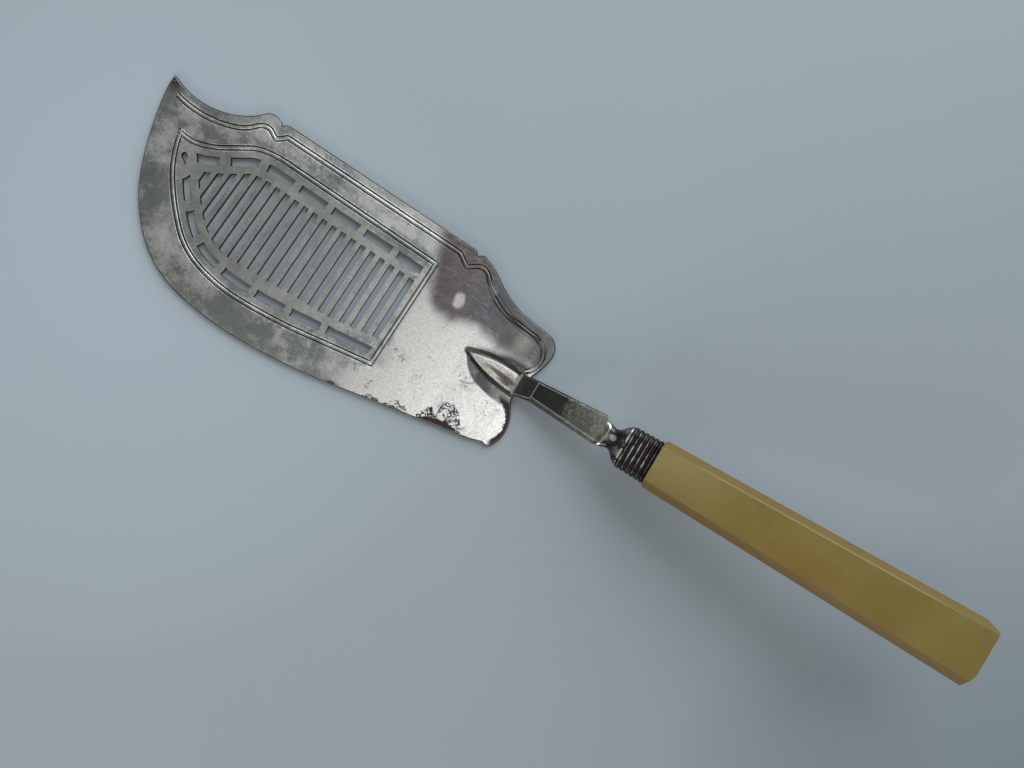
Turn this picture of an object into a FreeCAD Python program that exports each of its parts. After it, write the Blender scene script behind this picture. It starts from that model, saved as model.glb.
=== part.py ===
# A fish server: a pierced, engraved blade of plated metal that lies flat, a bevelled shank that
# cranks up from a leaf on the blade's heel, a reeded ferrule and a chamfered ivory-coloured handle.
#
# Millimetres. +X runs along the handle toward the butt, +Y toward the scrolled back of the blade,
# +Z up. The origin lies on the blade's flat underside, below the root of the leaf.
import FreeCAD, Part
import math
import os

V = FreeCAD.Vector
doc = FreeCAD.newDocument("fish_server")

# The sheet of sizes, in the order in which the piece would be laid out on a bench.

sheet = doc.addObject("Spreadsheet::Sheet", "sizes")
row = 0


def size(name, value):
    """Write one named size into the sheet and hand its value back."""
    global row
    row += 1
    sheet.set(f"A{row}", name)
    sheet.set(f"B{row}", str(value))
    sheet.setAlias(f"B{row}", name)
    return value


# The blade is sawn from sheet. Lengths along it are taken from the leaf's root or from its tip.
plate_thick = size("plate_thick", 1.8)
edge_bevel = size("edge_bevel", 0.45)
tip_reach = size("tip_reach", 147.7)
tip_rise = size("tip_rise", 30.1)
back_front = size("back_front", 34.8)
back_rear = size("back_rear", 31.05)
tip_to_notch = size("tip_to_notch", 39.1)
first_depth = size("first_depth", 1.3)
second_notch = size("second_notch", 31.5)
second_depth = size("second_depth", 1.6)
tip_to_belly = size("tip_to_belly", 63.0)
belly_drop = size("belly_drop", 34.6)
heel_drop = size("heel_drop", 23.2)
heel_reach = size("heel_reach", 7.15)

# The engraved lines: a pair along the back, and a pair round the pierced field.
thread_width = size("thread_width", 0.4)
thread_depth = size("thread_depth", 0.3)
thread_pair = size("thread_pair", 1.35)
back_inset = size("back_inset", 2.9)

# The pierced field keeps these margins from the back, the tip and the belly.
back_margin = size("back_margin", 10.2)
tip_margin = size("tip_margin", 10.2)
belly_margin = size("belly_margin", 10.6)
frame_rear = size("frame_rear", 40.9)
frame_lean = size("frame_lean", 1.9)
opening_inset = size("opening_inset", 4.1)
opening_width = size("opening_width", 2.8)
slot_inset = size("slot_inset", 9.45)
rear_margin = size("rear_margin", 3.6)
slot_pitch = size("slot_pitch", 3.93)
slot_width = size("slot_width", 2.0)
slot_floor = size("slot_floor", 21.6)
web_width = size("web_width", 1.9)
web_growth = size("web_growth", 1.2)
web_bulge = size("web_bulge", 0.35)
upper_first = size("upper_first", 10.8)
upper_pitch = size("upper_pitch", 12.95)
lower_first = size("lower_first", 17.0)
lower_pitch = size("lower_pitch", 13.2)
short_pitch = size("short_pitch", 11.8)
drop_length = size("drop_length", 4.5)
drop_radius = size("drop_radius", 1.1)
drop_pad = size("drop_pad", 6.7)

# The leaf and the shank.
leaf_length = size("leaf_length", 19.4)
leaf_half = size("leaf_half", 2.7)
leaf_skirt = size("leaf_skirt", 1.2)
leaf_rise = size("leaf_rise", 1.7)
crank_length = size("crank_length", 6.8)
crank_rise = size("crank_rise", 3.1)
shank_length = size("shank_length", 24.6)
shank_thick = size("shank_thick", 3.6)
shank_end_thick = size("shank_end_thick", 5.2)
panel_start_half = size("panel_start_half", 2.7)
panel_end_half = size("panel_end_half", 4.35)
panel_shift = size("panel_shift", 0.9)
panel_bevel = size("panel_bevel", 0.6)
lift_angle = size("lift_angle", 13.5)

# The neck and the cup that the ferrule seats on.
neck_half = size("neck_half", 3.5)
neck_half_thick = size("neck_half_thick", 2.7)
neck_place = size("neck_place", 4.4)
cup_place = size("cup_place", 9.0)
cup_rim = size("cup_rim", 0.9)

# The reeded ferrule.
ferrule_half = size("ferrule_half", 7.5)
ferrule_half_thick = size("ferrule_half_thick", 5.6)
ferrule_corner = size("ferrule_corner", 2.6)
ferrule_wall = size("ferrule_wall", 0.9)
ferrule_taper = size("ferrule_taper", 0.25)
reed_count = size("reed_count", 6)
reed_pitch = size("reed_pitch", 1.75)
reed_height = size("reed_height", 0.5)
seat_gap = size("seat_gap", 0.05)

# The handle, its bore, and the tang with its cement.
handle_length = size("handle_length", 109.8)
handle_start_half = size("handle_start_half", 8.3)
handle_start_half_thick = size("handle_start_half_thick", 6.1)
handle_butt_half = size("handle_butt_half", 10.4)
handle_butt_half_thick = size("handle_butt_half_thick", 7.1)
handle_chamfer = size("handle_chamfer", 2.4)
butt_corner_length = size("butt_corner_length", 4.6)
butt_corner_width = size("butt_corner_width", 1.9)
start_corner = size("start_corner", 0.7)
edge_round = size("edge_round", 0.3)
tang_length = size("tang_length", 62.0)
tang_half = size("tang_half", 2.3)
tang_half_thick = size("tang_half_thick", 1.5)
cement_wall = size("cement_wall", 0.8)
cement_end = size("cement_end", 3.0)
doc.recompute()

lift = math.radians(lift_angle)


def bind(thing, **formulas):
    """Tie properties of an object to cells of the sheet."""
    for name, formula in formulas.items():
        thing.setExpression(name.replace("__", "."), formula)


class Path:
    """A flat path of straight runs and arcs; each arc leaves along the run before it."""

    def __init__(self, x, y):
        self.here = V(x, y, 0)
        self.way = V(1, 0, 0)
        self.pieces = []

    def line(self, x, y):
        there = V(x, y, 0)
        self.pieces.append(Part.LineSegment(self.here, there))
        self.way = (there - self.here).normalize()
        self.here = there
        return self

    def turn(self, degrees):
        """Set the heading for the next arc, after a sharp corner."""
        angle = math.radians(degrees)
        self.way = V(math.cos(angle), math.sin(angle), 0)
        return self

    def arc(self, x, y):
        there = V(x, y, 0)
        chord = there - self.here
        length = chord.Length
        along = V(chord).normalize()
        cross = self.way.x * along.y - self.way.y * along.x
        bend = math.atan2(cross, self.way.dot(along))
        bulge = length / 2 * math.tan(bend / 2)
        side = V(along.y, -along.x, 0)
        middle = self.here + chord * 0.5 + side * bulge
        self.pieces.append(Part.Arc(self.here, middle, there))
        self.way = along * (2 * self.way.dot(along)) - self.way
        self.here = there
        return self

    def wire(self):
        return Part.Wire([piece.toShape() for piece in self.pieces])


# Landmarks of the blade: the tip, the bottoms of the two notches in the back, the lowest point of
# the belly, and the two ends of the straight lower edge.
tip = V(-tip_reach, tip_rise, 0)
first = V(tip_to_notch - tip_reach, back_front - first_depth, 0)
second = V(-second_notch, back_rear - second_depth, 0)
belly = V(tip_to_belly - tip_reach, -belly_drop, 0)
edge_front = belly + V(32.7, 2.7, 0)
edge_rear = V(heel_reach - 10.6, -heel_drop - 1.0, 0)


def between(start, end, across, up):
    """The point at two shares of the way from one landmark to another."""
    return start.x + across * (end.x - start.x), start.y + up * (end.y - start.y)


def outline_path():
    """From the tip along the back to the heel's two lobes, and home along the belly."""
    path = Path(tip.x, tip.y)
    path.turn(-27).arc(first.x - 12.4, first.y - 3.3)
    path.arc(first.x - 7.0, first.y + 0.7)
    path.arc(first.x - 2.7, first.y + 1.8)
    path.arc(first.x - 0.7, first.y + 0.9)
    path.line(first.x, first.y)
    path.line(first.x + 1.0, first.y + 0.95)
    path.line(first.x + 2.5, back_front)
    path.line(second.x - 1.6, back_rear)
    path.arc(second.x - 0.35, second.y + 0.95)
    path.line(second.x, second.y)
    path.line(second.x + 2.2, second.y + 1.3)
    path.turn(-16).arc(second.x + 11.3, second.y - 3.2)
    path.arc(second.x + 24.4, second.y - 8.95)
    path.arc(heel_reach - 5.25, second.y - 10.25)
    path.arc(heel_reach, second.y - 17.05)
    path.arc(heel_reach - 2.55, 4.4)
    path.line(heel_reach - 4.7, -5.8)
    path.line(heel_reach - 2.5, 13.2 - heel_drop)
    path.arc(heel_reach - 0.95, 6.8 - heel_drop)
    path.arc(heel_reach - 2.55, 1.3 - heel_drop)
    path.arc(heel_reach - 6.15, 0.35 - heel_drop)
    path.line(edge_rear.x, edge_rear.y)
    path.line(edge_front.x, edge_front.y)
    path.arc(belly.x, belly.y)
    path.arc(*between(belly, tip, 0.402, 0.042))
    path.arc(*between(belly, tip, 0.722, 0.215))
    path.arc(*between(belly, tip, 0.913, 0.515))
    path.arc(*between(belly, tip, 1.005, 0.929))
    path.arc(tip.x, tip.y)
    return path


def thread_path():
    """The outer engraved line: it keeps inside the back, with softer bends under the notches."""
    one = first - V(0, back_inset, 0)
    two = second - V(0, back_inset, 0)
    path = Path(tip.x + 4.3, tip.y - back_inset - 1.6)
    path.turn(-16).arc(one.x - 13.8, one.y - 4.5)
    path.arc(one.x - 7.7, one.y - 0.6)
    path.arc(one.x - 3.7, one.y + 0.95)
    path.arc(one.x - 2.0, one.y + 0.5)
    path.line(one.x + 0.3, one.y - 0.9)
    path.line(one.x + 3.2, one.y + 1.35)
    path.line(two.x - 6.1, two.y + 1.7)
    path.arc(two.x - 3.3, two.y + 0.45)
    path.line(two.x - 1.0, two.y - 1.05)
    path.line(two.x + 1.5, two.y + 0.65)
    path.turn(25).arc(two.x + 5.5, two.y + 0.85)
    path.arc(two.x + 7.8, two.y - 0.85)
    path.arc(two.x + 22.0, two.y - 8.65)
    path.arc(heel_reach - 7.65, two.y - 9.75)
    path.arc(heel_reach - 2.35, two.y - 14.05)
    path.arc(heel_reach - 4.95, 3.8)
    return path


def moved_in(pieces, distance, closed=True):
    """The same path moved to its right, piece for piece: inward for an outline that runs clockwise."""

    def right_of(piece, share):
        spot = piece.FirstParameter + share * (piece.LastParameter - piece.FirstParameter)
        heading = piece.tangent(spot)[0]
        return piece.value(spot), V(heading.y, -heading.x, 0).normalize()

    corners = []
    for place, piece in enumerate(pieces):
        point, normal = right_of(piece, 0)
        before = right_of(pieces[place - 1], 1)[1] if closed or place else normal
        corners.append(point + (normal + before) * (distance / (1 + normal.dot(before))))
    last, normal = right_of(pieces[-1], 1)
    corners.append(corners[0] if closed else last + normal * distance)
    moved = []
    for place, piece in enumerate(pieces):
        start, end = corners[place], corners[place + 1]
        if isinstance(piece, Part.LineSegment):
            moved.append(Part.LineSegment(start, end))
        else:
            point, normal = right_of(piece, 0.5)
            moved.append(Part.Arc(start, point + normal * distance, end))
    return moved


def strip(pieces, width):
    """The face between an open path and the same path moved to its right."""
    other = moved_in(pieces, width, closed=False)
    edges = [piece.toShape() for piece in pieces + other]
    edges.append(Part.makeLine(pieces[0].StartPoint, other[0].StartPoint))
    edges.append(Part.makeLine(pieces[-1].EndPoint, other[-1].EndPoint))
    return Part.Face(Part.Wire(Part.sortEdges(edges)[0]))


def base_plane(body, role):
    """The named plane of a body's own origin."""
    return next(item for item in body.Origin.OriginFeatures if item.Role == role)


def flat_sketch(name, pieces, height):
    """A sketch in the plate's body at the height that a formula gives."""
    sketch = plate.newObject("Sketcher::SketchObject", name)
    sketch.AttachmentSupport = (base_plane(plate, "XY_Plane"), [""])
    sketch.MapMode = "FlatFace"
    sketch.setExpression("AttachmentOffset.Base.z", height)
    sketch.addGeometry(pieces, False)
    doc.recompute()
    return sketch


plate = doc.addObject("PartDesign::Body", "plate")
border = outline_path().pieces
outline = flat_sketch("outline", border, "0")
sheet_metal = plate.newObject("PartDesign::Pad", "sheet_metal")
sheet_metal.Profile = outline
bind(sheet_metal, Length="sizes.plate_thick - sizes.edge_bevel")
doc.recompute()
bevel_foot = flat_sketch("bevel_foot", border, "sizes.plate_thick - sizes.edge_bevel")
bevel_top = flat_sketch("bevel_top", moved_in(border, edge_bevel), "sizes.plate_thick")
bevel = plate.newObject("PartDesign::AdditiveLoft", "edge_bevels")
bevel.Profile = bevel_foot
bevel.Sections = [bevel_top]
bevel.Ruled = True
plate.Tip = bevel
doc.recompute()


def edges_where(shape, wanted):
    """Names of the edges whose middle point passes the test."""
    names = []
    for place, edge in enumerate(shape.Edges, start=1):
        middle = edge.valueAt((edge.FirstParameter + edge.LastParameter) / 2)
        if wanted(middle, edge):
            names.append(f"Edge{place}")
    return names


# The pierced field: its frame is one closed path, and every opening keeps its distance from it.


def back_height(x):
    """Height of the straight back at a place along it, also past its ends."""
    return back_rear + (back_front - back_rear) * (second.x - x) / (second.x - first.x)


def edge_height(x):
    """Height of the straight lower edge at a place along it, also past its ends."""
    return edge_rear.y + (edge_front.y - edge_rear.y) * (edge_rear.x - x) / (edge_rear.x - edge_front.x)


corner = tip + V(tip_margin, -14.2, 0)


def field_face(rear_shift, rear_drop):
    """The field inside the frame, with its rear side moved and its lower rear corner dropped."""
    top = V(rear_shift - frame_rear, back_height(rear_shift - frame_rear) - back_margin - 0.4, 0)
    low_x = top.x - frame_lean
    low = belly + V(-7.3, belly_margin, 0)
    path = Path(top.x, top.y)
    path.line(first.x + 7.6, back_front - back_margin + 0.1)
    path.arc(first.x - 0.9, first.y - 9.2)
    path.arc(first.x - 5.0, first.y - 10.4)
    path.line(first.x - 13.0, first.y - 15.0)
    path.arc(first.x - 20.5, first.y - 18.1)
    path.arc(corner.x, corner.y)
    path.turn(-83).arc(*between(low, corner, 0.859, 0.564))
    path.arc(*between(low, corner, 0.648, 0.264))
    path.arc(*between(low, corner, 0.383, 0.073))
    path.arc(low.x, low.y)
    path.arc(low.x + 20.0, low.y + 0.75)
    path.line(low_x, edge_height(low_x) + belly_margin - 0.1 - rear_drop)
    path.line(top.x, top.y)
    return Part.Face(path.wire())


def inset(face, distance):
    """The face shrunk by a distance."""
    return face.makeOffset2D(-distance, 0, False, False, False)


def prism(face, low, high):
    return face.translated(V(0, 0, low)).extrude(V(0, 0, high - low))


def polygon(points):
    return Part.Face(Part.makePolygon(points + points[:1]))


def feature(name, shape, placement=None):
    """A document object that holds a shape made from the sheet's values."""
    thing = doc.addObject("Part::Feature", name)
    thing.Shape = shape
    if placement:
        thing.Placement = placement
    return thing


far = 400.0
through = (-1.0, plate_thick + 1.0)
frame_face = field_face(0, 0)
wide_field = field_face(slot_inset + 4.0, 1.9)

# Everything pierced stops at a line that runs beside the frame's rear side.
lean = V(frame_lean, back_rear - back_margin + heel_drop, 0).normalize()
stop = V(-frame_rear - rear_margin, back_rear - back_margin, 0)
upper_stop = stop + lean * far
lower_stop = stop - lean * far
ahead = V(-far, 0, 0)
keep = polygon([upper_stop, upper_stop + ahead, lower_stop + ahead, lower_stop])

# The slots are upright strips that fan out a little toward the tip. Along the belly they end on a
# level line, and behind it on one that climbs with the lower edge.
level = V(-far, slot_floor - belly_drop, 0)
bend = V(belly.x + 21.7, level.y, 0)
climb_end = bend + V(far, 0.122 * far, 0)
above = polygon([level, bend, climb_end, V(far, far, 0), V(-far, far, 0)])
slot_field = inset(wide_field, slot_inset).common(keep).common(above)
pierced = []
place = 0
while True:
    middle = stop.x - 0.9 - slot_width / 2 - place * slot_pitch * (1 - 0.0016 * place)
    if middle < slot_field.BoundBox.XMin + slot_width / 2:
        break
    slope = 0.0344 - 0.00085 * (middle + 45)
    span = V(slope, 1, 0) * 60
    half = V(slot_width / 2, 0, 0)
    centre = V(middle, 3, 0)
    upper = centre + span
    lower = centre - span
    upright = polygon([lower - half, lower + half, upper + half, upper - half])
    pierced.append(prism(upright.common(slot_field), *through))
    place += 1

# The short openings are one band beside the frame, crossed by webs whose sides bulge.
band = inset(wide_field, opening_inset).cut(inset(wide_field, opening_inset + opening_width)).common(keep)
middle_line = inset(wide_field, opening_inset + opening_width / 2).OuterWire.common(keep)
walk = Part.sortEdges(middle_line.Edges)[0]
if walk[0].firstVertex(True).Point.y < walk[-1].lastVertex(True).Point.y:
    walk = Part.sortEdges([edge.reversed() for edge in reversed(walk)])[0]


def point_on(edges, distance):
    """The point and heading at a distance along a chain of edges."""
    for edge in edges:
        if distance <= edge.Length or edge is edges[-1]:
            spot = edge.getParameterByLength(min(distance, edge.Length))
            if edge.Orientation == "Reversed":
                spot = edge.getParameterByLength(max(edge.Length - distance, 0))
            return edge.valueAt(spot), edge.tangentAt(spot)
        distance -= edge.Length


def web(point, heading, width):
    """A web across the band: narrow at the band's sides, bulging between them."""
    across = V(-heading.y, heading.x, 0) * (opening_width / 2 + 0.6)
    narrow = V(heading) * (width / 2)
    wide = V(heading) * (width / 2 + web_bulge)
    return Part.Face(
        Part.Wire(
            [
                Part.makeLine(point - across - narrow, point - across + narrow),
                Part.Arc(point - across + narrow, point + wide, point + across + narrow).toShape(),
                Part.makeLine(point + across + narrow, point + across - narrow),
                Part.Arc(point + across - narrow, point - wide, point - across - narrow).toShape(),
            ]
        )
    )


# The webs grow wider toward the tip; a round pad in the field's front corner takes the last ones.
whole_walk = sum(edge.Length for edge in walk)
upper_webs = [upper_first + upper_pitch * step for step in range(6)]
lower_webs = [lower_first + lower_pitch * step for step in range(4)]
lower_webs += [lower_webs[-1] + short_pitch * step for step in (1, 2)]
for webs, from_rear in ((upper_webs, True), (lower_webs, False)):
    for step, distance in enumerate(webs):
        place = distance if from_rear else whole_walk - distance
        band = band.cut(web(*point_on(walk, place), web_width + web_growth * (step / 5) ** 3))
pad_centre = corner + V(4.5, -9.6, 0)
band = band.cut(Part.Face(Part.Wire(Part.makeCircle(drop_pad, pad_centre))))

# The drop-shaped opening in the pad: two straight sides that meet in a point, and a round end.
drop_point = corner + V(8.0, -9.9, 0)
toward_round = V(-0.58, 0.81, 0).normalize()
beside = V(0.81, 0.58, 0).normalize()
half_angle = math.asin(drop_radius / (drop_length - drop_radius))
side_length = (drop_length - drop_radius) * math.cos(half_angle)
along_drop = toward_round * (side_length * math.cos(half_angle))
across_drop = beside * (side_length * math.sin(half_angle))
left = drop_point + along_drop - across_drop
right = drop_point + along_drop + across_drop
drop = Path(drop_point.x, drop_point.y).line(left.x, left.y).arc(right.x, right.y)
drop.line(drop_point.x, drop_point.y)
pierced.append(prism(Part.Face(drop.wire()), *through))
pierced += [prism(face, *through) for face in band.Faces if face.Area > 1.0]
piercing = feature("piercing", Part.makeCompound(pierced))

# The engraved pairs of lines are square-bottomed grooves in the top face.
floor = (plate_thick - thread_depth, plate_thick + 1.0)
back_line = thread_path().pieces
engraved = [prism(strip(back_line, thread_width), *floor)]
engraved.append(prism(strip(moved_in(back_line, thread_pair, closed=False), thread_width), *floor))
engraved.append(prism(frame_face.cut(inset(frame_face, thread_width)), *floor))
inner_frame = inset(frame_face, thread_pair)
engraved.append(prism(inner_frame.cut(inset(inner_frame, thread_width)), *floor))
engraving = feature("engraving", Part.makeCompound(engraved))

# The leaf: a long pointed shape with a sloping skirt, two facets and a ridge between them.
leaf_root = V(0.6, -0.7, 0)
leaf_turn = math.tan(math.radians(4.5))


def leaf_section(share):
    """One cross-section of the leaf, at a share of its length from the tip."""
    x = leaf_root.x - leaf_length * (1 - share)
    y = leaf_root.y + leaf_turn * leaf_length * (1 - share)
    half = max(0.06, leaf_half * math.sin(math.pi / 2 * share**0.68))
    foot = half + leaf_skirt * (0.12 + 0.88 * min(1.0, share * 2.5))
    low = plate_thick - 0.3
    shoulder = plate_thick + leaf_rise * (0.15 + 0.6 * share**0.7)
    ridge = plate_thick + leaf_rise * (0.22 + 0.78 * share**0.7)
    points = [V(x, y - foot, low), V(x, y - half, shoulder), V(x, y, ridge), V(x, y + half, shoulder)]
    points.append(V(x, y + foot, low))
    return Part.makePolygon(points + points[:1])


leaf_sections = [leaf_section(share) for share in (0.0, 0.12, 0.3, 0.55, 0.8, 1.0)]
leaf = feature("leaf", Part.makeLoft(leaf_sections, True, False))

# The shank: a steep crank off the leaf, then a long flat panel between bevels.


def shank_section(x, high, panel, outer, drop, thick, foot):
    """A six-sided cross-section; panel, outer and foot are pairs of y for its three levels."""
    points = [
        V(x, foot[0], high - thick),
        V(x, foot[1], high - thick),
        V(x, outer[1], high - drop),
        V(x, panel[1], high),
        V(x, panel[0], high),
        V(x, outer[0], high - drop),
    ]
    return Part.makePolygon(points + points[:1])


root_top = plate_thick + leaf_rise
crank_top = root_top + crank_rise
crank_end = leaf_root.x + crank_length
panel_end = crank_end + shank_length
panel_top = crank_top + shank_length * math.tan(lift)
skirt_half = leaf_half + leaf_skirt
root_section = shank_section(
    leaf_root.x - 0.4,
    root_top - 0.1,
    (leaf_root.y - leaf_half, leaf_root.y + leaf_half),
    (leaf_root.y - skirt_half, leaf_root.y + skirt_half),
    0.9,
    root_top - 1.0,
    (leaf_root.y - skirt_half, leaf_root.y + skirt_half),
)
crank_section = shank_section(
    crank_end,
    crank_top,
    (panel_shift - panel_start_half, panel_shift + panel_start_half),
    (panel_shift - panel_start_half - 1.5, panel_shift + panel_start_half + panel_bevel),
    1.1,
    shank_thick,
    (panel_shift - panel_start_half - 0.9, panel_shift + panel_start_half),
)
over = 0.8
end_section = shank_section(
    panel_end + over,
    panel_top + over * math.tan(lift),
    (panel_shift - panel_end_half, panel_shift + panel_end_half),
    (panel_shift - panel_end_half - 2 * panel_bevel, panel_shift + panel_end_half + panel_bevel),
    0.9,
    shank_end_thick,
    (panel_shift - panel_end_half - 0.4, panel_shift + panel_end_half - 0.4),
)
crank = Part.makeLoft([root_section, crank_section], True, True)
panel = Part.makeLoft([crank_section, end_section], True, True)
nose_radius = 12.0
nose = Part.makeCylinder(nose_radius, 60, V(panel_end + over - nose_radius, panel_shift, -10))
beyond = Part.makeBox(8, 40, 60, V(panel_end - 4, -20, -10)).cut(nose)
shank = feature("shank", crank.fuse(panel).cut(beyond))

# Neck, cup, ferrule and handle share one straight axis that climbs away from the table.
axis_start = V(panel_end, 0, panel_top - shank_end_thick / 2 / math.cos(lift))
climb = FreeCAD.Placement(axis_start, FreeCAD.Rotation(V(0, 1, 0), -lift_angle))


def rounded(x, half, half_thick, corner):
    """A rounded rectangle square to the axis, eight edges, at a distance along it."""
    corner = min(corner, half * 0.9, half_thick * 0.9)
    y, z = half - corner, half_thick - corner
    nip = corner * math.sqrt(0.5)
    edges = []
    for side_y, side_z in ((1, 1), (-1, 1), (-1, -1), (1, -1)):
        start = V(x, half * side_y, z * side_z)
        middle = V(x, (y + nip) * side_y, (z + nip) * side_z)
        end = V(x, y * side_y, half_thick * side_z)
        if side_y * side_z < 0:
            start, end = end, start
        edges.append(Part.Arc(start, middle, end).toShape())
    joined = []
    for place, edge in enumerate(edges):
        following = edges[(place + 1) % 4]
        joined += [edge, Part.makeLine(edge.lastVertex().Point, following.firstVertex().Point)]
    return Part.Wire(joined)


cup_end = cup_place + cup_rim
cup_half = ferrule_half - reed_height - ferrule_taper + 0.1
cup_half_thick = ferrule_half_thick - reed_height - ferrule_taper + 0.1
neck_shape = Part.makeLoft(
    [
        rounded(-2.0, panel_end_half + 0.2, shank_end_thick / 2 - 0.5, 1.2),
        rounded(1.0, panel_end_half + 0.2, shank_end_thick / 2 - 0.3, 1.4),
        rounded(neck_place - 1.6, neck_half + 0.5, neck_half_thick - 0.1, 1.7),
        rounded(neck_place, neck_half, neck_half_thick, 2.0),
        rounded(cup_place - 2.8, neck_half + 0.6, neck_half_thick + 0.5, 2.2),
        rounded(cup_place - 1.1, cup_half - 1.0, cup_half_thick - 0.8, 2.4),
    ],
    True,
    False,
)
cup_shape = Part.makeLoft(
    [
        rounded(cup_place - 1.1, cup_half - 1.0, cup_half_thick - 0.8, 2.4),
        rounded(cup_place + 0.4, cup_half, cup_half_thick, ferrule_corner),
        rounded(cup_end, cup_half, cup_half_thick, ferrule_corner),
    ],
    True,
    True,
)
neck = feature("neck", neck_shape.fuse(cup_shape), climb)

tang = doc.addObject("Part::Box", "tang")
bind(tang, Length="sizes.tang_length + 2", Width="2 * sizes.tang_half", Height="2 * sizes.tang_half_thick")
tang_corner = V(cup_end - 2.0, -tang_half, -tang_half_thick)
tang.Placement = climb.multiply(FreeCAD.Placement(tang_corner, FreeCAD.Rotation()))

cut_blade = doc.addObject("Part::Cut", "pierced_plate")
cut_blade.Base = plate
cut_blade.Tool = piercing
doc.recompute()
lined_blade = doc.addObject("Part::Cut", "engraved_plate")
lined_blade.Base = cut_blade
lined_blade.Tool = engraving
doc.recompute()
blade = doc.addObject("Part::MultiFuse", "blade")
blade.Shapes = [lined_blade, leaf, shank, neck, tang]
blade.Label = "blade"
doc.recompute()

# The ferrule: a reeded cap whose front wall seats on the cup and lets the tang through.
ferrule_length = reed_count * reed_pitch
sections = []
base_half = ferrule_half - reed_height
base_half_thick = ferrule_half_thick - reed_height
for reed in range(int(reed_count)):
    start = cup_end + reed * reed_pitch
    for share, rise in ((0.0, 0.0), (0.22, 0.75), (0.42, 1.0), (0.6, 0.85), (0.82, 0.0)):
        x = start + share * reed_pitch
        grown = rise * reed_height - ferrule_taper * (1 - (x - cup_end) / ferrule_length)
        sections.append(rounded(x, base_half + grown, base_half_thick + grown, ferrule_corner + grown))
sections.append(rounded(cup_end + ferrule_length, base_half, base_half_thick, ferrule_corner))
reeded = Part.makeLoft(sections, True, True)
front_wall = 1.0
hollow_half = base_half - ferrule_wall
hollow_half_thick = base_half_thick - ferrule_wall
hollow_corner = ferrule_corner - ferrule_wall
hollow_start = cup_end + front_wall
hollow_end = cup_end + ferrule_length
hollow = Part.Face(rounded(hollow_start, hollow_half, hollow_half_thick, hollow_corner))
hollow = hollow.extrude(V(hollow_end - hollow_start, 0, 0))
tang_hole = Part.makeBox(
    front_wall + 2,
    2 * (tang_half + seat_gap),
    2 * (tang_half_thick + seat_gap),
    V(cup_end - 1, -tang_half - seat_gap, -tang_half_thick - seat_gap),
)
ferrule = feature("ferrule", reeded.cut(hollow).cut(tang_hole), climb)
ferrule.Label = "ferrule"

# The handle: a tapered bar with chamfered long edges, a stepped-down spigot and a blind bore.
handle = doc.addObject("PartDesign::Body", "handle")
handle.Label = "handle"
handle.Placement = climb.multiply(FreeCAD.Placement(V(hollow_end, 0, 0), FreeCAD.Rotation()))

# The wedge grows along its own Y, so half a turn about the diagonal lays it along the axis.
bar = handle.newObject("PartDesign::AdditiveWedge", "bar")
bar.Placement = FreeCAD.Placement(V(0, 0, 0), FreeCAD.Rotation(V(1, 1, 0), 180))
bind(
    bar,
    Xmin="-sizes.handle_start_half",
    Xmax="sizes.handle_start_half",
    Zmin="-sizes.handle_start_half_thick",
    Zmax="sizes.handle_start_half_thick",
    X2min="-sizes.handle_butt_half",
    X2max="sizes.handle_butt_half",
    Z2min="-sizes.handle_butt_half_thick",
    Z2max="sizes.handle_butt_half_thick",
    Ymax="sizes.handle_length",
)
bar.Ymin = 0
doc.recompute()

long_chamfer = handle.newObject("PartDesign::Chamfer", "long_chamfers")
long_edges = edges_where(bar.Shape, lambda middle, edge: edge.Length > handle_length * 0.9)
long_chamfer.Base = (bar, long_edges)
bind(long_chamfer, Size="sizes.handle_chamfer")
handle.Tip = long_chamfer
doc.recompute()

# The two upright corners of the butt are cut back farther along the handle than across it.
base = long_chamfer
for side, flip in ((1, False), (-1, True)):

    def is_butt_corner(middle, edge):
        at_end = abs(middle.x - handle_length) < 0.01
        return at_end and middle.y * side > handle_butt_half - 0.1 and abs(middle.z) < 0.1

    corner = handle.newObject("PartDesign::Chamfer", "butt_corner")
    corner.Base = (base, edges_where(base.Shape, is_butt_corner))
    corner.ChamferType = "Two distances"
    corner.FlipDirection = flip
    bind(corner, Size="sizes.butt_corner_width", Size2="sizes.butt_corner_length")
    handle.Tip = corner
    doc.recompute()
    base = corner



def is_start_corner(middle, edge):
    return middle.x < 0.01 and abs(middle.z) < 0.1


start_corners = handle.newObject("PartDesign::Chamfer", "start_corners")
start_corners.Base = (base, edges_where(base.Shape, is_start_corner))
bind(start_corners, Size="sizes.start_corner")
handle.Tip = start_corners
doc.recompute()
base = start_corners

softened = handle.newObject("PartDesign::Fillet", "softened_edges")
softened.Base = (base, edges_where(base.Shape, lambda middle, edge: True))
bind(softened, Radius="sizes.edge_round")
handle.Tip = softened
doc.recompute()

spigot_length = hollow_end - hollow_start
spigot = handle.newObject("PartDesign::AdditiveBox", "spigot")
spigot_half = hollow_half - seat_gap
spigot_half_thick = hollow_half_thick - seat_gap
spigot.Placement = FreeCAD.Placement(V(-spigot_length, -spigot_half, -spigot_half_thick), FreeCAD.Rotation())
spigot.Length = spigot_length + 1.0
spigot.Width = 2 * spigot_half
spigot.Height = 2 * spigot_half_thick
handle.Tip = spigot
doc.recompute()


def is_spigot_edge(middle, edge):
    ends = [vertex.Point for vertex in edge.Vertexes]
    straight = abs(ends[0].y - ends[-1].y) < 0.001 and abs(ends[0].z - ends[-1].z) < 0.001
    return straight and middle.x < -1.0 and edge.Length > spigot_length * 0.8


spigot_round = handle.newObject("PartDesign::Fillet", "spigot_round")
spigot_round.Base = (spigot, edges_where(spigot.Shape, is_spigot_edge))
spigot_round.Radius = hollow_corner - seat_gap
handle.Tip = spigot_round
doc.recompute()

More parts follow.
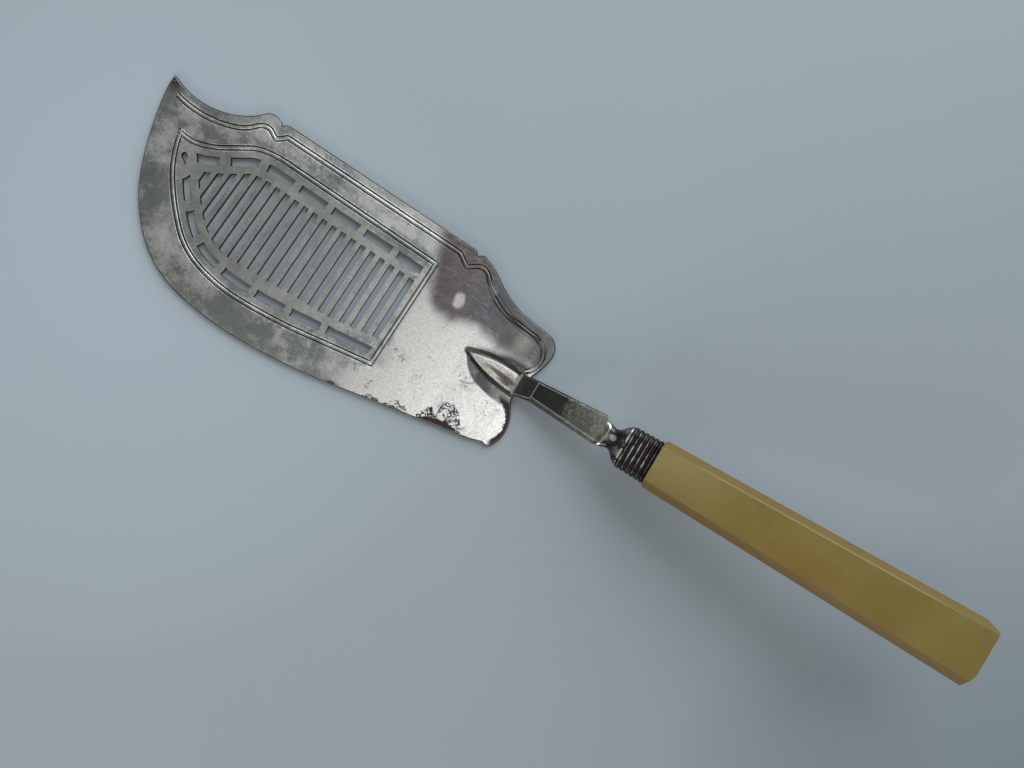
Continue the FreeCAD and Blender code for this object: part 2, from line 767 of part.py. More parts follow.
bore_half = tang_half + cement_wall
bore_half_thick = tang_half_thick + cement_wall
bore_length = tang_length - front_wall + cement_end
bore = handle.newObject("PartDesign::SubtractiveBox", "bore")
bore.Placement = FreeCAD.Placement(V(-spigot_length, -bore_half, -bore_half_thick), FreeCAD.Rotation())
bind(
    bore,
    Width="2 * (sizes.tang_half + sizes.cement_wall)",
    Height="2 * (sizes.tang_half_thick + sizes.cement_wall)",
)
bore.Length = bore_length
handle.Tip = bore
doc.recompute()

# Cement fills the bore round the tang and past its end.
filling = doc.addObject("Part::Box", "filling")
filling.Placement = climb.multiply(
    FreeCAD.Placement(V(hollow_start, -bore_half, -bore_half_thick), FreeCAD.Rotation())
)
filling.Length = bore_length
bind(
    filling,
    Width="2 * (sizes.tang_half + sizes.cement_wall)",
    Height="2 * (sizes.tang_half_thick + sizes.cement_wall)",
)
cement = doc.addObject("Part::Cut", "tang_cement")
cement.Label = "tang_cement"
cement.Base = filling
cement.Tool = tang
doc.recompute()

# Every object must have built, and every piece must be one valid solid, before anything is written.
for thing in doc.Objects:
    if "Invalid" in thing.State or "Error" in thing.State:
        raise RuntimeError(f"{thing.Name} failed: {thing.State}")
os.makedirs("parts", exist_ok=True)
for piece in (blade, ferrule, handle, cement):
    shape = piece.Shape
    if shape.isNull() or not shape.isValid() or len(shape.Solids) != 1:
        raise RuntimeError(f"{piece.Label} is not one valid solid")
    shape.exportStep(os.path.join("parts", piece.Label + ".step"))
    box = shape.BoundBox
    corners = (box.XMin, box.YMin, box.ZMin, box.XMax, box.YMax, box.ZMax)
    print(piece.Label, round(shape.Volume, 1), len(shape.Faces), [round(value, 2) for value in corners])
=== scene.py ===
# %% [markdown]
# # A fish server on a pale table
#
# The server has a flat pierced blade, a cranked shank, a reeded ferrule and a chamfered handle.
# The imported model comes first, because every piece below takes its place from it: the shapes are
# built in metres, in the model's own frame, with the origin under the root of the leaf.

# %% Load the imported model
import bmesh
import bpy
import math
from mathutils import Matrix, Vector


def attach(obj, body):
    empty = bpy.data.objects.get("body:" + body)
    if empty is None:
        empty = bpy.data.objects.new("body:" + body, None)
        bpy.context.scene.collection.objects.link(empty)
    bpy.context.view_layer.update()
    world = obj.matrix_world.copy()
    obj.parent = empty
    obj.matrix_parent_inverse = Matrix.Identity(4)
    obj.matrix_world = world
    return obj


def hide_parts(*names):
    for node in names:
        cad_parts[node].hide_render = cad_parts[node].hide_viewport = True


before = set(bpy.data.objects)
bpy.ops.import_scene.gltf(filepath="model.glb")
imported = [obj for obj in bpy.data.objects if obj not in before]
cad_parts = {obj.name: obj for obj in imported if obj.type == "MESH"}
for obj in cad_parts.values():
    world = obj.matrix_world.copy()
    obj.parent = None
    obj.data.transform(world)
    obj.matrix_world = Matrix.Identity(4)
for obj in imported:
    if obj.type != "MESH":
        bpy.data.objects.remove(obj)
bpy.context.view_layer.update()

MM = 0.001

# %% [markdown]
# ## The camera
#
# The photograph looks straight down on the blade, and the handle runs to the lower right. A camera
# with no tilt gives that view: it only turns about the upright axis. Its height and lens were fitted
# to the sizes of the blade and the handle, whose butt stands nearer to the lens and looks larger.

# %% Place the camera
CAMERA_HEIGHT = 341.8 * MM
CAMERA_TURN = math.radians(30.6)
FOCAL_PIXELS = 1030.0
FRAME_WIDTH = 1024.0
SENSOR = 36.0

lens = bpy.data.cameras.new("camera")
lens.sensor_width = SENSOR
lens.lens = FOCAL_PIXELS / FRAME_WIDTH * SENSOR
lens.clip_start = 0.01
camera = bpy.data.objects.new("camera", lens)
camera.location = (0.0, -1.22 * MM, CAMERA_HEIGHT)
camera.rotation_euler = (0.0, 0.0, CAMERA_TURN)
bpy.context.scene.collection.objects.link(camera)
bpy.context.scene.camera = camera
print("lens", round(lens.lens, 2), "mm")

# %% [markdown]
# ## A way to write shader formulas
#
# A finish is a tree of small sums. Wiring each sum by hand hides the idea, so a socket is wrapped in
# a class that knows plus, minus, times and divide, and a formula then reads like the sentence that
# describes it. Two shapes come up again and again, a bell round a place and the larger of two masks,
# so they are methods too.

# %% Wrap sockets so that formulas can be written


class Flow:
    """A value that runs through a finish."""

    def __init__(self, finish, socket):
        self.finish = finish
        self.socket = socket

    def sum(self, operation, first, second=0.0, third=0.0):
        return self.finish.node("ShaderNodeMath", {"operation": operation}, {0: first, 1: second, 2: third})

    def __add__(self, other):
        return self.sum("ADD", self, other)

    def __radd__(self, other):
        return self.sum("ADD", other, self)

    def __sub__(self, other):
        return self.sum("SUBTRACT", self, other)

    def __rsub__(self, other):
        return self.sum("SUBTRACT", other, self)

    def __mul__(self, other):
        return self.sum("MULTIPLY", self, other)

    def __rmul__(self, other):
        return self.sum("MULTIPLY", other, self)

    def __truediv__(self, other):
        return self.sum("DIVIDE", self, other)

    def most(self, other):
        return self.sum("MAXIMUM", self, other)

    def power(self, other):
        return self.sum("POWER", self, other)

    def size(self):
        return self.sum("ABSOLUTE", self)

    def cosine(self):
        return self.sum("COSINE", self)

    def bell(self, middle, half):
        """1 at the middle, down to 0 at half the width to each side."""
        away = (self - middle) / half
        return (1.0 - away * away).most(0.0)


print("sums on sockets ready")

# %% [markdown]
# A finish holds one material and its one shader. Its methods make the few kinds of node that all the
# finishes below need: the place on the piece in millimetres, a cloudy noise with lumps of a given
# size, a smooth step, a blend of two colours, a bump, and stretched places for grain and scratches.

# %% A finish and the nodes it is made of


class Finish:
    """A material whose tree is written as formulas."""

    def __init__(self, name):
        self.material = bpy.data.materials.new(name)
        self.material.use_nodes = True
        self.tree = self.material.node_tree
        self.tree.nodes.clear()
        self.shader = self.tree.nodes.new("ShaderNodeBsdfPrincipled")
        output = self.tree.nodes.new("ShaderNodeOutputMaterial")
        self.tree.links.new(self.shader.outputs[0], output.inputs["Surface"])

    def feed(self, socket, value):
        if isinstance(value, Flow):
            self.tree.links.new(value.socket, socket)
        elif isinstance(value, tuple) and len(value) == 3 and len(socket.default_value) == 4:
            socket.default_value = (*value, 1.0)
        else:
            socket.default_value = value

    def node(self, kind, settings=None, inputs=None, output=0):
        made = self.tree.nodes.new(kind)
        for name, value in (settings or {}).items():
            setattr(made, name, value)
        for name, value in (inputs or {}).items():
            self.feed(made.inputs[name], value)
        return Flow(self, made.outputs[output])

    def place(self):
        """The point on the piece, in millimetres."""
        point = self.node("ShaderNodeTexCoord", output="Object")
        return self.node("ShaderNodeVectorMath", {"operation": "SCALE"}, {0: point, "Scale": 1 / MM})

    def part(self, vector, axis):
        return self.node("ShaderNodeSeparateXYZ", {}, {0: vector}, axis)

    def noise(self, point, size, detail=3.0, rough=0.55, warp=0.0):
        """Cloudy values about 0.5 whose lumps are about the given size."""
        values = {"Vector": point, "Scale": 1.0 / size, "Detail": detail}
        values.update({"Roughness": rough, "Distortion": warp})
        return self.node("ShaderNodeTexNoise", {}, values)

    def step(self, value, low, high):
        """0 below the low value, 1 above the high one, smooth between them."""
        values = {"Value": value, "From Min": low, "From Max": high}
        return self.node("ShaderNodeMapRange", {"interpolation_type": "SMOOTHSTEP"}, values)

    def blend(self, share, first, second):
        """The first colour where the share is 0, the second where it is 1."""
        return self.node("ShaderNodeMix", {"data_type": "RGBA"}, {0: share, 6: first, 7: second}, 2)

    def bump(self, height, distance):
        values = {"Height": height, "Distance": distance * MM, "Strength": 1.0}
        return self.node("ShaderNodeBump", {}, values)

    def stretch(self, point, turn, scale):
        """The point turned about the upright axis and stretched, for grain that runs one way."""
        values = {"Vector": point, "Rotation": (0.0, 0.0, turn), "Scale": scale}
        return self.node("ShaderNodeMapping", {}, values)

    def set(self, **values):
        for name, value in values.items():
            self.feed(self.shader.inputs[name.replace("_", " ")], value)
        return self.material


print("finishes ready")

# %% [markdown]
# ## The plated metal
#
# The blade, shank and neck are one forging under worn silver plate. Old plate is never one grey. It
# is white where hands and cloths rub it and where a reflection of the light is painted, greenish grey
# where tarnish has set, brown and near black where a dark reflection is painted, and full of pits,
# scratches and small stains. Each of these is a mask over the metal, written from the place on it in
# millimetres, so that a stain lies where the real one lies. The noises that make the stains ragged are
# shared by them all, so they are made once, with the large zones.

# %% Noises and zones of the plated metal
PLATE_TOP = 1.8
LEAF_LENGTH, LEAF_HALF_WIDTH, LEAF_SLANT = 18.6, 3.7, 0.0787


class WornPlate(Finish):
    """The finish of the forging, with the values that its stains share."""

    def __init__(self):
        super().__init__("worn_plate")
        self.point = self.place()
        self.x, self.y, self.z = (self.part(self.point, axis) for axis in range(3))
        self.clouds = self.noise(self.point, 9.0, 4.0, 0.55, 0.3)
        self.wisps = self.noise(self.point, 3.0, 4.0, 0.65, 0.6)
        self.drift = self.noise(self.point, 22.0, 3.0, 0.5)
        self.mottle = self.noise(self.point, 1.2, 4.0, 0.75)
        self.grit = self.noise(self.point, 0.45, 2.0, 0.6)
        self.flat = 1.0 - self.step(self.z, PLATE_TOP + 0.02, PLATE_TOP + 0.1)
        self.shank = self.step(self.x, 0.5, 1.2) * self.step(self.z, 2.0, 2.6)
        self.heel, self.back, self.field, self.lobe = self.zones()
        # The leaf: how far along it, off its middle line and outside its outline a point lies.
        self.along = (self.x * -1.0 / LEAF_LENGTH).most(0.0)
        self.away = self.y + self.x * LEAF_SLANT + 0.653
        self.aside = self.away.size() - (1.0 - self.along.power(2.4)) * LEAF_HALF_WIDTH
        self.near = self.step(self.x, -19.7, -19.0) * self.step(self.x, 3.4, 2.4)

    def zones(self):
        """The heel, the band along the back, the pierced field and the lobe of painted dark reflection, each
        from 0 to 1.
        """
        x, y = self.x, self.y
        ragged = (self.noise(self.point, 4.0, 4.0, 0.6) - 0.5) * 6.0
        heel = self.step(x + y * 0.1 + ragged * 1.3 + self.step(y, -17.0, -23.0) * 9.0, -47.0, -38.5)
        back = self.step(y + x * 0.06 + ragged * 0.5, 18.6, 21.0) * self.step(x, -121.0, -106.0)
        field = self.step((x + 88.0).power(2.0) / 2050.0 + (y - 1.5).power(2.0) / 530.0, 1.15, 0.75)
        shore = 5.8 + 2.8 * x.bell(-19.0, 9.0) + 0.05 * (-31.0 - x).most(0.0).power(2.0)
        lobe = self.step(y - shore + ragged * 0.55, -2.6, 3.4)
        lobe = lobe * self.step(x + y * 0.35 + ragged * 0.7, -39.0, -32.0)
        # A lighter spot in the painted dark reflection.
        pale_spot = (x + 29.2).power(2.0) + ((y - 13.4) * 0.7).power(2.0) + ragged * 1.6
        return heel, back, field, lobe * (1.0 - 0.75 * self.step(pale_spot, 5.5, 0.0))


def blots(x, y, places):
    """The sum of soft oval clouds, each given by its middle and its half widths."""
    total = 0.0
    for middle_x, middle_y, half_x, half_y in places:
        across, up = (x - middle_x) / half_x, (y - middle_y) / half_y
        total = (1.0 - across * across - up * up).most(0.0) + total
    return total


plate = WornPlate()
print(plate.material.name, "starts with", len(plate.tree.nodes), "nodes")

# %% [markdown]
# Tarnish comes first. It clouds the whole blade from green grey over pearl to white. A few clouds are
# listed where the real ones lie, and the noise strews the others. The pierced field is brushed across,
# so its noise is stretched that way, and the heel is made nearly white. The white is partly rubbed plate
# and partly a painted reflection of the light.

# %% Tarnish, the brushed field and the white heel, rubbed plate and painted reflection
RUBBED_AND_REFLECTION_WHITE, PEARL = (0.79, 0.795, 0.765), (0.60, 0.625, 0.61)
GREEN_GREY, SLATE = (0.265, 0.292, 0.272), (0.19, 0.215, 0.22)
BRUSHED_DARK, BRUSHED_PALE = (0.22, 0.24, 0.22), (0.6, 0.625, 0.595)
PALE_CLOUDS = (
    (-52, -28, 10, 5),
    (-141, 11, 4, 8),
    (-122, -19, 10, 6),
    (-112, 28, 7, 3),
    (-138, 22, 6, 4),
    (-58, 24, 9, 3),
)
DARK_CLOUDS = (
    (-126, 20, 7, 3),
    (-120, 14, 5, 3),
    (-133, -5, 5, 9),
    (-87, 27, 13, 2),
    (-92, -28, 15, 5),
    (-37, -11, 5, 4),
)


def tarnish():
    share = plate.clouds + (plate.wisps - 0.5) * 0.8 + (plate.mottle - 0.5) * 0.55
    share = share + (plate.grit - 0.5) * 0.5 + plate.back * 0.2
    share = share + plate.back * plate.step(plate.x, -100.0, -45.0) * 0.16
    share = share + (blots(plate.x, plate.y, PALE_CLOUDS) - blots(plate.x, plate.y, DARK_CLOUDS)) * 0.22
    colour = plate.blend(plate.step(share, 0.3, 0.74), GREEN_GREY, PEARL)
    slate = plate.step(plate.drift + (plate.clouds - 0.5) * 0.6, 0.5, 0.32)
    colour = plate.blend(slate * 0.4, colour, SLATE)
    # White clouds, partly rubbed plate and partly painted reflection.
    colour = plate.blend(plate.step(share, 0.68, 0.92) * 0.8, colour, RUBBED_AND_REFLECTION_WHITE)
    brushed = plate.noise(plate.stretch(plate.point, 0.0, (0.9, 0.09, 1.0)), 1.0, 4.0, 0.65)
    brushed = brushed + plate.step(plate.x, -100.0, -46.0) * 0.45
    colour = plate.blend(plate.field * 0.6, colour, plate.blend(brushed, BRUSHED_DARK, BRUSHED_PALE))
    # The heel, rubbed and with a painted reflection, nearly white.
    rubbed_and_reflection = plate.heel * plate.step(share + plate.heel * 0.25, 0.42, 0.6)
    return plate.blend(rubbed_and_reflection, colour, RUBBED_AND_REFLECTION_WHITE)


colour = tarnish()
print("tarnished,", len(plate.tree.nodes), "nodes")

# %% [markdown]
# On the heel, from the grille to the scrolled back, a dark reflection is painted in violet brown, bluer
# toward the handle, and one patch in it is rubbed straw yellow. The tip gets a painted dark reflection,
# nearly black.

# %% The painted dark reflection, its rubbed patch and the tip
REFLECTION_BROWN, REFLECTION_BLUE, LOBE_GREY = (0.112, 0.092, 0.092), (0.088, 0.094, 0.106), (0.3, 0.28, 0.27)
TIP_REFLECTION_BLACK, STRAW = (0.05, 0.042, 0.045), (0.5, 0.48, 0.4)
TIP_DARK_REFLECTION = ((-147, 29, 5, 6),)


def paint_dark_reflection(colour):
    tint = plate.blend(plate.step(plate.x + plate.drift * 20.0, -20.0, -8.0), REFLECTION_BROWN, REFLECTION_BLUE)
    specks = (plate.mottle - 0.42).most(0.0) + (plate.wisps - 0.5).most(0.0) * 0.8
    # Painted dark reflection over the lobe, with lighter specks.
    colour = plate.blend(plate.lobe * 0.95, colour, plate.blend(specks, tint, LOBE_GREY))
    # Painted dark reflection at the tip.
    colour = plate.blend(blots(plate.x, plate.y, TIP_DARK_REFLECTION) * 0.95, colour, TIP_REFLECTION_BLACK)
    patch = plate.x.bell(-3.6, 3.6) * plate.y.bell(12.5, 5.6)
    grain = plate.noise(plate.stretch(plate.point, -0.25, (1.6, 0.15, 1.0)), 1.0, 3.0, 0.6)
    return plate.blend((patch + (grain - 0.5) * 1.6 * patch) * 0.42, colour, STRAW)


colour = paint_dark_reflection(colour)
print("dark lobe laid,", len(plate.tree.nodes), "nodes")

# %% [markdown]
# No cloth gets into the corner where the leaf rises from the blade, and shade is painted there. A line
# of painted contact shade and grime follows the leaf's outline, with a painted brown shade above it
# and a painted shadow in lead grey below it. All three are written from the distance to the outline,
# so they keep to it however the leaf bends.

# %% Painted shade and grime beside the leaf
SHADE_AND_GRIME = (0.022, 0.02, 0.018)
HALO_SHADE_BROWN, SHADOW_LEAD_GREY = (0.055, 0.038, 0.034), (0.085, 0.078, 0.083)


def leaf_shade_and_grime(colour):
    x, ragged = plate.x, plate.mottle - 0.5
    above = plate.step(plate.away, -0.3, 0.0)
    # Painted brown shade above the leaf.
    halo_shade = plate.step(plate.aside + ragged * 1.4 - x.bell(0.0, 9.0) * 1.4, 3.4, 0.9)
    halo_shade = halo_shade * above * plate.near * plate.step(x, -19.0, -10.0)
    # Painted lead grey shadow below the leaf.
    wedge_shadow = (1.0 - plate.along.power(6.0)) * 5.0 - plate.aside + ragged
    wedge_shadow = plate.step(wedge_shadow, 0.0, 0.7) * plate.step(plate.away, 0.0, -0.3) * plate.near
    wedge_shadow = wedge_shadow * (0.98 - (plate.wisps - 0.48).most(0.0) - plate.step(x, -7.0, 1.0) * 0.3)
    # Painted contact shade and grime along the outline.
    outline_shade_and_grime = plate.step(plate.aside + ragged * 0.5 - above * 0.5, 1.15, 0.6) * plate.near
    colour = plate.blend(halo_shade * plate.flat * 0.95, colour, HALO_SHADE_BROWN)
    colour = plate.blend(wedge_shadow * plate.flat, colour, SHADOW_LEAD_GREY)
    return plate.blend(outline_shade_and_grime * plate.flat * 0.92, colour, SHADE_AND_GRIME)


colour = leaf_shade_and_grime(colour)
print("leaf stained,", len(plate.tree.nodes), "nodes")

# %% [markdown]
# Use leaves pits and scratches. A pit is a high spot of a fine noise, and pits are most frequent on
# the heel. A scratch is long, thin and straight: a stretched noise is cut where it crosses its middle
# value, which gives lines, and a second noise keeps them in patches. They turn two ways.

# %% Pits, scratches and the small stains along the back
BLUE_GREY, PIT_BLACK = (0.16, 0.19, 0.22), (0.07, 0.065, 0.06)
FINE_LINE = 0.012


def scratches(turn, density):
    field = plate.noise(plate.stretch(plate.point, turn, (0.035, 1.0, 1.0)), 0.55, 2.0, 0.4)
    line = 1.0 - plate.step((field - 0.5).size(), 0.0, FINE_LINE)
    return line * plate.step(plate.noise(plate.point, 7.0, 1.0, 0.5), 0.62 - density, 0.72 - density)


pits = plate.noise(plate.point, 0.32, 1.0, 0.5) + (plate.mottle - 0.5) * 0.35 + plate.heel * 0.02
pits = plate.step(pits, 0.69, 0.75)
lines = scratches(0.6, 0.2).most(scratches(2.3, 0.14))
stains = plate.step(plate.noise(plate.point, 3.0, 4.0, 0.7), 0.55, 0.64)
stains = stains * plate.back * plate.x.bell(-88.0, 34.0)
colour = plate.blend(stains * 0.6, colour, BLUE_GREY)
colour = plate.blend(pits * 0.8, colour, PIT_BLACK)
colour = plate.blend(lines * 0.45, colour, PEARL)
print("pitted and scratched,", len(plate.tree.nodes), "nodes")

# %% [markdown]
# Along the lower edge of the heel the plate has flaked off. The bare metal is dark, and cracks curl
# inward from it. Each bay of the flaking has its own reach from the edge, and the cracks are again the
# middle value of a noise, here a warped one, so that they curl. The same dark colour gives the right
# edge of the lower lobe a painted dark reflection and lays a dark band along the lower edge.

# %% Flaked plate and a painted dark reflection on the heel
RUST_AND_REFLECTION_DARK = (0.036, 0.022, 0.02)
FLAKE_BAYS = ((9.4, -14.5, 8.4), (3.6, -29.5, 5.0), (2.2, -38.0, 4.5), (1.7, -52.0, 3.0))


def flaking_and_edge_reflection():
    """Where the plate is gone, with a painted dark reflection on one edge. A bay has a reach, a middle along
    the edge and a half width.
    """
    x, y, ragged = plate.x, plate.y, plate.mottle - 0.5
    inward = y + 24.2 - (x + 3.45) * 0.1586
    reach = 0.0
    for depth, middle, half in FLAKE_BAYS:
        reach = depth * x.bell(middle, half) + reach
    reach = reach + (plate.clouds - 0.5) * 2.0
    curls = plate.noise(plate.point, 2.6, 3.0, 0.62, 1.0)
    cracks = (1.0 - plate.step((curls - 0.5).size(), 0.028, 0.068)) * plate.step(reach - inward, 0.0, 0.8)
    bare = plate.step(reach * 0.27 - inward + ragged * 1.8, -0.1, 0.3) * plate.step(reach, 0.7, 1.4)
    # Painted dark reflection along the right edge of the lower lobe.
    from_heel = ((x + 3.5).power(2.0) + (y + 15.8).power(2.0)).power(0.5) + ragged * 2.6
    right_edge_reflection = plate.step(from_heel, 8.1, 8.4) * plate.step(x + y * 0.3, -4.5, -2.5)
    right_edge_reflection = right_edge_reflection * plate.step(y, -5.0, -8.0)
    # A dark band along the lower edge.
    low_edge = plate.step(0.5 - inward + ragged * 1.2, 0.0, 0.25) * plate.step(x, -26.0, -20.0)
    return cracks.most(bare).most(right_edge_reflection).most(low_edge * 0.9) * plate.flat


flakes_and_edge_reflection = flaking_and_edge_reflection()
colour = plate.blend(flakes_and_edge_reflection * 0.97, colour, RUST_AND_REFLECTION_DARK)
print("flaked,", len(plate.tree.nodes), "nodes")

# %% [markdown]
# The shank's root and the first half of its panel carry a painted dark reflection, nearly black, with
# a painted highlight on the root. Its middle clears to a cloudy grey, and the neck has brown blotches,
# a few painted highlights and painted shade on its sides. The shank's flat panel is bounded by fine
# painted highlights, straight ones that spread toward the neck and a round one at its nose, and one
# more runs along the root.

# %% The shank, the neck and the painted highlights round the panel
SHANK_REFLECTION_BLACK, SHANK_GREY, SHANK_PALE = (0.021, 0.024, 0.026), (0.155, 0.168, 0.145), (0.36, 0.36, 0.30)
NECK_SIDE_SHADE, NECK_BROWN, NECK_GREY = (0.02, 0.017, 0.018), (0.055, 0.043, 0.045), (0.34, 0.32, 0.3)
ROOT_REFLECTION_BLACK, ROOT_HIGHLIGHT_GREY = (0.006, 0.005, 0.005), (0.07, 0.065, 0.065)
BEVEL_DARK, BEVEL_PALE = (0.1, 0.105, 0.1), (0.3, 0.31, 0.28)
GLINT, RIM_HIGHLIGHT = (0.85, 0.83, 0.78), (0.8, 0.78, 0.72)
NECK_GLINTS = ((36.4, 0.4, 1.3, 1.2), (40.9, 2.6, 1.3, 2.2), (40.4, -2.8, 1.3, 2.2))
PANEL_START, PANEL_SPREAD, PANEL_CLIMB = 7.4, 0.0635, 0.24
NOSE_X, NOSE_Y, NOSE_RADIUS = 22.2, 0.9, 12.0


def shank_and_neck(colour):
    x, y, ragged = plate.x, plate.y, plate.mottle - 0.5
    veil = plate.blend(plate.step(plate.clouds + ragged, 0.35, 0.75), SHANK_GREY, SHANK_PALE)
    # Painted dark reflection on the first half of the panel.
    veil = plate.blend(plate.step(x + ragged * 9.0, 17.0, 23.0), SHANK_REFLECTION_BLACK, veil)
    blotch = plate.step(plate.noise(plate.point, 2.8, 3.0, 0.6), 0.47, 0.6)
    neck = plate.blend(blotch, NECK_BROWN, NECK_GREY)
    # Painted highlights on the neck.
    neck = plate.blend(plate.step(blots(x, y, NECK_GLINTS) + ragged * 0.6, 0.1, 0.6), neck, GLINT)
    # Painted shade on the neck's sides.
    side_shade = plate.step((y + 0.4).size(), 1.4, 2.2) * plate.step(x, 39.0, 37.0)
    neck = plate.blend(side_shade * 0.96, neck, NECK_SIDE_SHADE)
    veil = plate.blend(plate.step(x, 33.3, 33.9), veil, neck)
    # Painted dark reflection on the root, with a painted highlight near its middle.
    root = plate.blend(plate.mottle + x.bell(2.2, 2.0) * 0.6, ROOT_REFLECTION_BLACK, ROOT_HIGHLIGHT_GREY)
    veil = plate.blend(plate.step(x, PANEL_START, PANEL_START - 0.3), veil, root)
    return plate.blend(plate.shank * 0.95, colour, veil)


def panel_rim_highlights(colour):
    x, y, step = plate.x, plate.y, plate.step
    widen = (x - PANEL_START) * PANEL_SPREAD
    from_nose = ((x - NOSE_X).power(2.0) + (y - NOSE_Y).power(2.0)).power(0.5)
    bevel = step(y + widen, -1.75, -1.95) * step(x, 7.2, 7.6) * step(x, 34.4, 34.0)
    bevel_metal = plate.blend(plate.mottle, BEVEL_DARK, BEVEL_PALE)
    colour = plate.blend(bevel * plate.shank * 0.8, colour, bevel_metal)
    inside = step(from_nose, NOSE_RADIUS + 0.3, NOSE_RADIUS + 0.1).most(step(x, 24.0, 22.0))
    # Painted highlights along the panel's edges, round its nose and along the root.
    rims = (y - widen).bell(3.55, 0.22).most((y + widen).bell(-1.75, 0.26)) * inside
    on_top = step(plate.z - x * PANEL_CLIMB, 4.45, 4.65)
    rims = rims.most(x.bell(PANEL_START, 0.2)) * on_top * step(x, 6.9, 7.2) * step(x, 34.6, 34.2)
    nose_highlight = from_nose.bell(NOSE_RADIUS, 0.45) * step(x, 27.5, 29.5) * step(x, 35.0, 34.7)
    root_highlight = (y - x * 0.25).bell(-4.2, 0.3) * step(x, 0.4, 0.8) * step(x, 7.4, 7.2)
    rims = rims.most(nose_highlight * plate.shank).most(root_highlight)
    return plate.blend(rims * (0.5 + plate.mottle * 0.5), colour, RIM_HIGHLIGHT)


colour = panel_rim_highlights(shank_and_neck(colour))
print("shank and neck laid,", len(plate.tree.nodes), "nodes")

# %% [markdown]
# The leaf is bright on its facets and brown on its ridge, with a painted highlight along its shoulder
# and painted contact shade with grime where its skirt meets the plate. Last come the marks that need no
# place, because depth and slope find them: the bevels are worn and get a painted highlight, grime stays
# in the engraved lines, and painted shade lies on the sawn walls of the openings.

# %% The leaf, painted highlights on worn bevels, dirt and painted shade
LEAF_GREY, LEAF_WHITE, LEAF_GLINT = (0.6, 0.59, 0.54), (0.95, 0.94, 0.9), (0.97, 0.96, 0.92)
RIDGE_BROWN, BEVEL_HIGHLIGHT = (0.15, 0.13, 0.09), (0.9, 0.89, 0.85)


def leaf_metal(colour):
    x, away, aside, ragged = plate.x, plate.away, plate.aside, plate.mottle - 0.5
    leaf = plate.step(plate.z, PLATE_TOP + 0.04, PLATE_TOP + 0.15) * plate.step(x, 2.0, 1.2)
    leaf = leaf * plate.step(aside, 0.7, 0.3) * plate.near
    ridge = away.bell(-0.1, 0.9) * x.bell(-5.0, 8.0) + away.bell(-1.4, 1.3) * x.bell(-2.5, 4.0) * 0.8
    brown = leaf * plate.step(ridge + ragged * 1.2, 0.2, 0.8) * 0.85
    # A painted highlight along the leaf's shoulder.
    shoulder_highlight = aside.bell(-1.05, 0.35) * plate.step(x, -16.5, -14.0)
    # Painted contact shade and grime where the skirt meets the plate.
    foot_shade_and_grime = plate.step(aside + ragged * 0.4, -0.8, -0.45) * plate.near
    foot_shade_and_grime = foot_shade_and_grime * plate.step(plate.z, PLATE_TOP - 0.01, PLATE_TOP + 0.04)
    colour = plate.blend(leaf, colour, plate.blend(plate.mottle, LEAF_GREY, LEAF_WHITE))
    colour = plate.blend(brown, colour, RIDGE_BROWN)
    colour = plate.blend(leaf * shoulder_highlight * 0.8, colour, LEAF_GLINT)
    return plate.blend(foot_shade_and_grime * plate.step(x, 1.4, 0.8) * 0.9, colour, SHADE_AND_GRIME)


upright = plate.part(plate.node("ShaderNodeNewGeometry", output="Normal"), 2)
# A painted highlight on the worn bevels.
wear_and_highlight = upright.bell(0.7, 0.2) * plate.step(plate.z, PLATE_TOP + 0.01, PLATE_TOP - 0.01)
# Grime in the engraved lines, and painted shade on the sawn walls.
sunk = plate.step(plate.z, PLATE_TOP - 0.015, PLATE_TOP - 0.1) * plate.step(plate.z, 1.3, 1.45)
wall_shade = plate.step(upright.size(), 0.3, 0.02) * plate.step(plate.z, PLATE_TOP + 0.05, PLATE_TOP - 0.01)
dirt_and_shade = sunk.most(wall_shade * 0.9)
colour = plate.blend(wear_and_highlight * 0.85, leaf_metal(colour), BEVEL_HIGHLIGHT)
colour = plate.blend(dirt_and_shade, colour, SHADE_AND_GRIME)
rough = 0.27 + plate.lobe * 0.05 + (plate.mottle - 0.5) * 0.22
rough = rough + dirt_and_shade * 0.3 + flakes_and_edge_reflection * 0.25 + (1.0 - plate.heel) * 0.04
height = plate.mottle * 0.35 + plate.grit * 0.3 - pits * 0.6 - lines * 0.15 - flakes_and_edge_reflection * 1.2
height = height + plate.clouds * 1.2
PLATE = plate.set(Base_Color=colour, Metallic=1.0, Roughness=rough, Normal=plate.bump(height, 0.035))
print(PLATE.name, len(PLATE.node_tree.nodes), "nodes")

# %% [markdown]
# ## The ferrule's finish
#
# The ferrule is the same plate, but dirt fills the hollows between its reeds, and the crests carry
# painted highlights. The reeds stand at an even pitch along the handle's axis, so a cosine of the
# distance along it says how near a point is to a crest. Noise breaks the painted highlights up, and
# toward the sides they fade, a painted shade on the round sides.

# %% Finish of the ferrule
LIFT = math.radians(13.5)
REED_PITCH, FIRST_CREST = 1.75, 44.12
HOLLOW, CREST_HIGHLIGHT = (0.06, 0.054, 0.056), (0.46, 0.44, 0.42)
LAST_GROOVE, SPECK = (0.02, 0.018, 0.018), (0.03, 0.028, 0.026)


